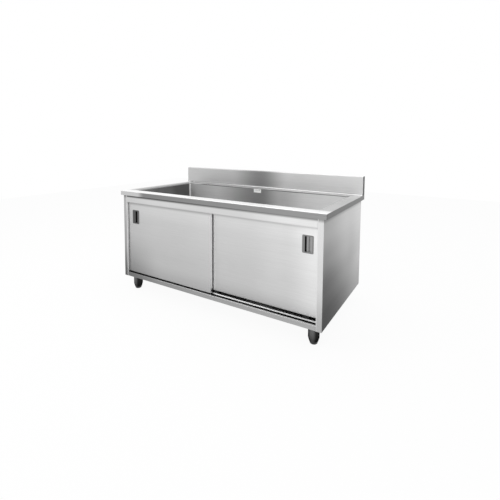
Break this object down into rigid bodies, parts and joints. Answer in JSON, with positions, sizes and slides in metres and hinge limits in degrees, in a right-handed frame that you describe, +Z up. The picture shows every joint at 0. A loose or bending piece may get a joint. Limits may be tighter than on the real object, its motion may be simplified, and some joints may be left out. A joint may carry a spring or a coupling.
{
  "type": "kitchen sink unit",
  "caption": "Stainless steel sink unit: a wide bowl in a worktop with an upstand, on a cabinet with sliding doors and adjustable feet.",
  "frame": {"origin": "on the floor, under the middle of the worktop's outline", "axes": "+X to the right along the front, +Y towards the upstand at the rear, +Z up"},
  "size_m": [1.8, 0.9, 1],
  "materials": {
    "deck_steel": "satin stainless steel, fine grain along the worktop",
    "bowl_steel": "satin stainless steel",
    "case_steel": "satin stainless steel",
    "inner_steel": "plain mill-finish steel",
    "track_steel": "drawn stainless steel",
    "door_steel": "satin stainless steel, grain from side to side",
    "pull_steel": "pressed stainless steel",
    "bracket_steel": "zinc-plated steel",
    "nylon": "plain off-white nylon",
    "bright_steel": "polished stainless steel",
    "leg_steel": "dark polished steel tube",
    "foot_plastic": "black moulded plastic",
    "trap_plastic": "light grey moulded plastic",
    "rubber": "black rubber"
  },
  "bodies": {
    "cabinet": {"worktop_deck": "deck_steel", "upstand": "deck_steel", "upstand_cap_left": "deck_steel", "upstand_cap_right": "deck_steel", "bowl": "bowl_steel", "side_panel_left": "case_steel", "side_panel_right": "case_steel", "head_rail": "case_steel", "base_rail": "case_steel", "rear_panel": "case_steel", "base_shelf": "inner_steel", "base_channel_front": "inner_steel", "base_channel_rear": "inner_steel", "bowl_bearer_front": "inner_steel", "bowl_bearer_rear": "inner_steel", "leg_plate_front_left": "inner_steel", "leg_plate_front_right": "inner_steel", "leg_plate_rear_left": "inner_steel", "leg_plate_rear_right": "inner_steel", "overflow_box": "inner_steel", "top_track": "track_steel", "bottom_track": "track_steel", "leg_bolts": "bracket_steel", "waste_cup": "bright_steel", "overflow_cover": "bright_steel", "leg_front_left": "leg_steel", "leg_front_right": "leg_steel", "leg_rear_left": "leg_steel", "leg_rear_right": "leg_steel", "trap_body": "trap_plastic", "trap_cup": "trap_plastic", "outlet_pipe": "trap_plastic", "overflow_pipe": "trap_plastic", "waste_locknut": "trap_plastic", "waste_gasket": "rubber", "door_buffers": "rubber"},
    "left_door": {"door_skin_left": "door_steel", "door_back_left": "door_steel", "pull_left": "pull_steel", "door_hangers_left": "bracket_steel", "door_guides_left": "nylon"},
    "right_door": {"door_skin_right": "door_steel", "door_back_right": "door_steel", "pull_right": "pull_steel", "door_hangers_right": "bracket_steel", "door_guides_right": "nylon"},
    "left_door_left_roller": {"roller_left_door_left": "nylon"},
    "left_door_right_roller": {"roller_left_door_right": "nylon"},
    "right_door_left_roller": {"roller_right_door_left": "nylon"},
    "right_door_right_roller": {"roller_right_door_right": "nylon"},
    "front_left_foot": {"foot_front_left": "foot_plastic"},
    "front_right_foot": {"foot_front_right": "foot_plastic"},
    "rear_left_foot": {"foot_rear_left": "foot_plastic"},
    "rear_right_foot": {"foot_rear_right": "foot_plastic"},
    "strainer": {"strainer_basket": "bright_steel"}
  },
  "joints": [
    {"name": "left_door_slide", "type": "slide", "parent": "cabinet", "child": "left_door", "axis": [1, 0, 0], "range_m": [0, 0.806]},
    {"name": "right_door_slide", "type": "slide", "parent": "cabinet", "child": "right_door", "axis": [1, 0, 0], "range_m": [-0.806, 0]},
    {"name": "left_door_left_roller_turn", "type": "hinge", "parent": "left_door", "child": "left_door_left_roller", "pos_m": [-0.745, -0.4115, 0.7993], "axis": [0, 1, 0], "continuous": true},
    {"name": "left_door_right_roller_turn", "type": "hinge", "parent": "left_door", "child": "left_door_right_roller", "pos_m": [-0.061, -0.4115, 0.7993], "axis": [0, 1, 0], "continuous": true},
    {"name": "right_door_left_roller_turn", "type": "hinge", "parent": "right_door", "child": "right_door_left_roller", "pos_m": [0.061, -0.3815, 0.7993], "axis": [0, 1, 0], "continuous": true},
    {"name": "right_door_right_roller_turn", "type": "hinge", "parent": "right_door", "child": "right_door_right_roller", "pos_m": [0.745, -0.3815, 0.7993], "axis": [0, 1, 0], "continuous": true},
    {"name": "front_left_foot_screw", "type": "slide", "parent": "cabinet", "child": "front_left_foot", "axis": [0, 0, -1], "range_m": [0, 0.03]},
    {"name": "front_right_foot_screw", "type": "slide", "parent": "cabinet", "child": "front_right_foot", "axis": [0, 0, -1], "range_m": [0, 0.03]},
    {"name": "rear_left_foot_screw", "type": "slide", "parent": "cabinet", "child": "rear_left_foot", "axis": [0, 0, -1], "range_m": [0, 0.03]},
    {"name": "rear_right_foot_screw", "type": "slide", "parent": "cabinet", "child": "rear_right_foot", "axis": [0, 0, -1], "range_m": [0, 0.03]},
    {"name": "strainer_lift", "type": "slide", "parent": "cabinet", "child": "strainer", "axis": [0, 0, 1], "range_m": [0, 0.1]}
  ],
  "couplings": [
    {"joint": "left_door_left_roller_turn", "follows": "left_door_slide", "rad_per_m": 100},
    {"joint": "left_door_right_roller_turn", "follows": "left_door_slide", "rad_per_m": 100},
    {"joint": "right_door_left_roller_turn", "follows": "right_door_slide", "rad_per_m": 100},
    {"joint": "right_door_right_roller_turn", "follows": "right_door_slide", "rad_per_m": 100}
  ]
}
